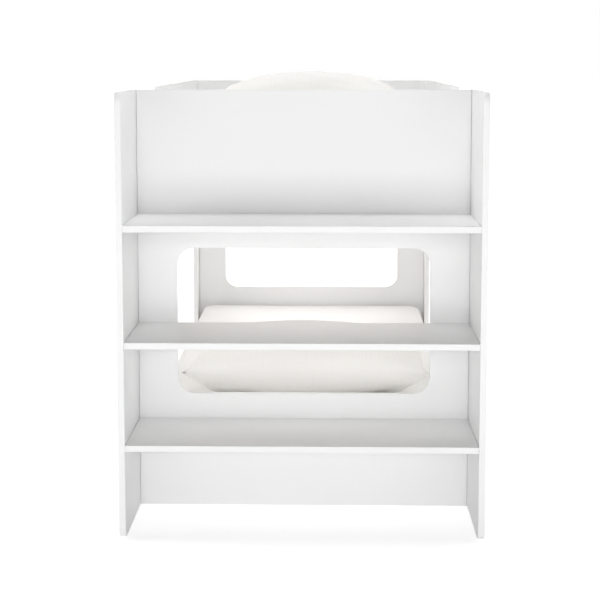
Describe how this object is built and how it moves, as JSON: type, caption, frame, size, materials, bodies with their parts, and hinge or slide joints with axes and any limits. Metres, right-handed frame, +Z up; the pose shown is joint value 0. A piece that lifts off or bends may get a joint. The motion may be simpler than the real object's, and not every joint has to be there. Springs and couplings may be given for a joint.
{
  "type": "changing table",
  "caption": "White child's changing table with guarded padded top, windowed end panels, an end bookcase and a padded rest deck with pillow below.",
  "frame": {"origin": "on the floor at the centre of the footprint", "axes": "+X across the table, +Y along its length from the bookcase end to the far end, +Z up"},
  "size_m": [0.753, 1.668, 0.951],
  "materials": {
    "white_lacquer": "satin white lacquer on wood-based board, fine orange-peel, edges lacquered too",
    "birch": "sanded birch, clear matt oil",
    "beech": "plain fluted beech pin",
    "zinc": "bright zinc plate",
    "white_plastic": "moulded, fine matt",
    "cover_linen": "off-white woven cotton and linen cover, piped edges",
    "pillow_linen": "off-white slubbed linen"
  },
  "bodies": {
    "frame": {"bookcase_side_left": "white_lacquer", "bookcase_side_right": "white_lacquer", "front_window_panel": "white_lacquer", "shelf_lower": "white_lacquer", "shelf_middle": "white_lacquer", "shelf_upper": "white_lacquer", "far_leg_left": "white_lacquer", "far_leg_right": "white_lacquer", "far_window_panel": "white_lacquer", "upper_side_left": "white_lacquer", "upper_side_right": "white_lacquer", "lower_rail_left": "white_lacquer", "lower_rail_right": "white_lacquer", "upper_batten_left": "birch", "upper_batten_right": "birch", "upper_batten_front": "birch", "upper_batten_far": "birch", "lower_batten_left": "birch", "lower_batten_right": "birch", "cross_rail_1": "birch", "cross_rail_2": "birch", "deck_board_1": "white_lacquer", "deck_board_2": "white_lacquer", "deck_board_3": "white_lacquer", "slat_1": "birch", "slat_2": "birch", "slat_3": "birch", "slat_4": "birch", "slat_5": "birch", "slat_6": "birch", "slat_7": "birch", "slat_8": "birch", "slat_9": "birch", "slat_10": "birch", "slat_11": "birch", "cam_discs": "zinc", "cam_bolts": "zinc", "cam_caps": "white_plastic", "dowels": "beech", "batten_screws": "zinc", "deck_screws": "zinc"},
    "pad": {"changing_pad": "cover_linen"},
    "pad_pillow": {"upper_pillow": "pillow_linen"},
    "mattress": {"lower_mattress": "cover_linen"},
    "mattress_pillow": {"lower_pillow": "pillow_linen"}
  },
  "joints": [
    {"name": "pad_lift", "type": "slide", "parent": "frame", "child": "pad", "axis": [0, 0, 1], "range_m": [0, 0.24]},
    {"name": "pad_pillow_lift", "type": "slide", "parent": "pad", "child": "pad_pillow", "axis": [0, 0, 1], "range_m": [0, 0.15]},
    {"name": "mattress_lift", "type": "slide", "parent": "frame", "child": "mattress", "axis": [0, 0, 1], "range_m": [0, 0.12]},
    {"name": "mattress_pillow_lift", "type": "slide", "parent": "mattress", "child": "mattress_pillow", "axis": [0, 0, 1], "range_m": [0, 0.12]}
  ]
}
